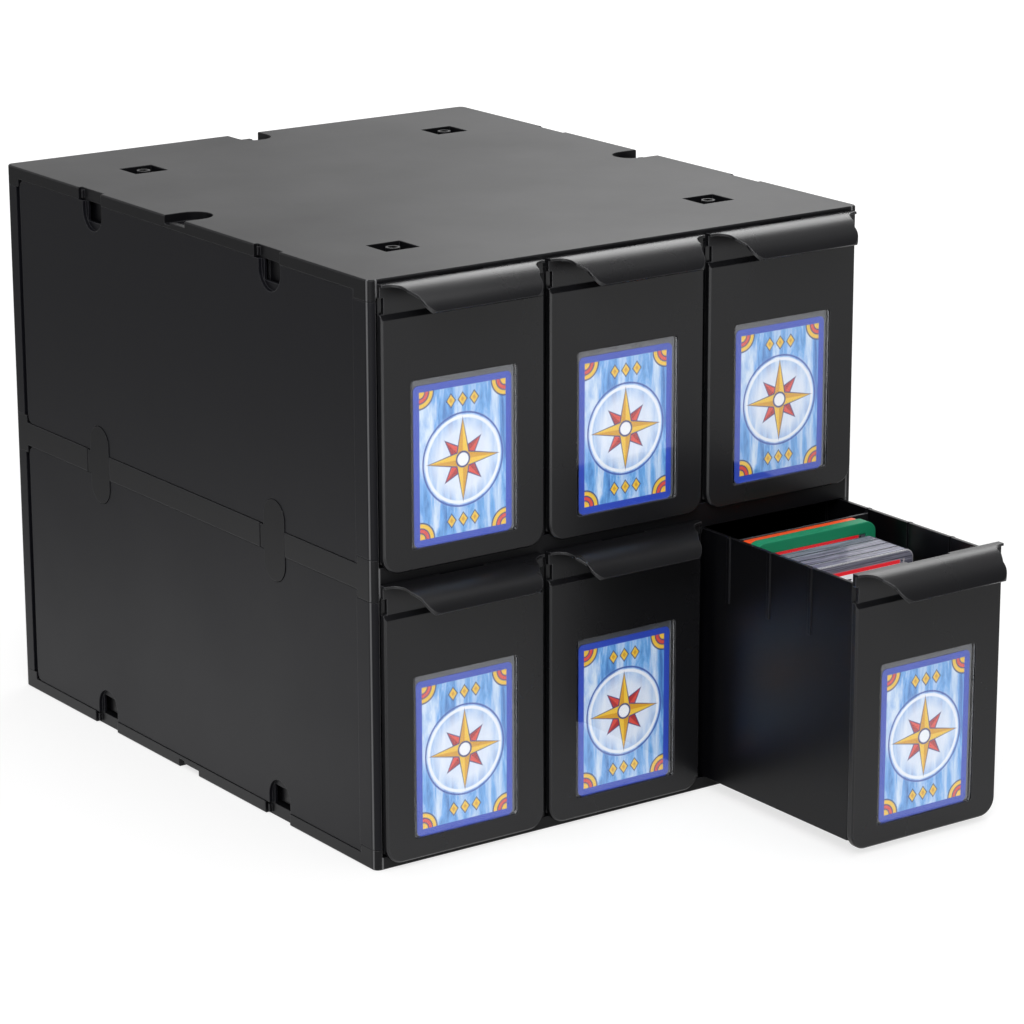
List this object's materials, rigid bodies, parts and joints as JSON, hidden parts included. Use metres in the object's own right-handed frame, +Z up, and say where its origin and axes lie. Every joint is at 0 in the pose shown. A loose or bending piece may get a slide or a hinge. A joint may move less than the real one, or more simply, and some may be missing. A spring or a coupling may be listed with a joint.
{
  "type": "trading card drawer box",
  "caption": "Two-tier black plastic cabinet of pull-out card drawers with hooded pulls and framed card windows, one drawer open on slabbed cards.",
  "frame": {"origin": "centre of the cabinet's underside, on the surface it stands on", "axes": "+X to the right and +Y to the back as the drawers are faced, so drawers open along -Y; +Z up"},
  "size_m": [0.33, 0.549, 0.326],
  "materials": {
    "black_housing": "satin",
    "black_side_wall": "fine grain, satin",
    "black_clip": "satin",
    "black_tray": "satin",
    "black_front": "soft gloss",
    "clear_pane": "clear, glossy",
    "printed_card": "printed card stock, blue with a pale compass design",
    "clear_slab": "clear, glossy",
    "orange_plastic": "satin",
    "green_rubber": "soft, satin"
  },
  "bodies": {
    "cabinet": {"top_panel": "black_housing", "bottom_panel": "black_housing", "middle_panel": "black_housing", "lower_left_side_panel": "black_side_wall", "lower_right_side_panel": "black_side_wall", "lower_back_panel": "black_housing", "lower_left_bay_divider": "black_housing", "lower_right_bay_divider": "black_housing", "upper_left_side_panel": "black_side_wall", "upper_right_side_panel": "black_side_wall", "upper_back_panel": "black_housing", "upper_left_bay_divider": "black_housing", "upper_right_bay_divider": "black_housing", "left_connector_clips": "black_clip", "right_connector_clips": "black_clip"},
    "lower_left_drawer": {"lower_left_drawer_tray": "black_tray", "lower_left_drawer_front": "black_front", "lower_left_drawer_window_pane": "clear_pane", "lower_left_drawer_display_card": "printed_card"},
    "lower_middle_drawer": {"lower_middle_drawer_tray": "black_tray", "lower_middle_drawer_front": "black_front", "lower_middle_drawer_window_pane": "clear_pane", "lower_middle_drawer_display_card": "printed_card"},
    "lower_right_drawer": {"lower_right_drawer_tray": "black_tray", "lower_right_drawer_front": "black_front", "lower_right_drawer_window_pane": "clear_pane", "lower_right_drawer_display_card": "printed_card", "drawer_divider_plate": "black_tray", "orange_card_holder": "orange_plastic", "green_slab_bumper": "green_rubber", "slab_in_bumper": "clear_slab", "graded_slab_1": "clear_slab", "graded_slab_2": "clear_slab", "graded_slab_3": "clear_slab", "graded_slab_4": "clear_slab"},
    "upper_left_drawer": {"upper_left_drawer_tray": "black_tray", "upper_left_drawer_front": "black_front", "upper_left_drawer_window_pane": "clear_pane", "upper_left_drawer_display_card": "printed_card"},
    "upper_middle_drawer": {"upper_middle_drawer_tray": "black_tray", "upper_middle_drawer_front": "black_front", "upper_middle_drawer_window_pane": "clear_pane", "upper_middle_drawer_display_card": "printed_card"},
    "upper_right_drawer": {"upper_right_drawer_tray": "black_tray", "upper_right_drawer_front": "black_front", "upper_right_drawer_window_pane": "clear_pane", "upper_right_drawer_display_card": "printed_card"}
  },
  "joints": [
    {"name": "lower_left_drawer_slide", "type": "slide", "parent": "cabinet", "child": "lower_left_drawer", "axis": [0, -1, 0], "range_m": [0, 0.3]},
    {"name": "lower_middle_drawer_slide", "type": "slide", "parent": "cabinet", "child": "lower_middle_drawer", "axis": [0, -1, 0], "range_m": [0, 0.3]},
    {"name": "lower_right_drawer_slide", "type": "slide", "parent": "cabinet", "child": "lower_right_drawer", "axis": [0, -1, 0], "range_m": [-0.1297, 0.1703]},
    {"name": "upper_left_drawer_slide", "type": "slide", "parent": "cabinet", "child": "upper_left_drawer", "axis": [0, -1, 0], "range_m": [0, 0.3]},
    {"name": "upper_middle_drawer_slide", "type": "slide", "parent": "cabinet", "child": "upper_middle_drawer", "axis": [0, -1, 0], "range_m": [0, 0.3]},
    {"name": "upper_right_drawer_slide", "type": "slide", "parent": "cabinet", "child": "upper_right_drawer", "axis": [0, -1, 0], "range_m": [0, 0.3]}
  ]
}
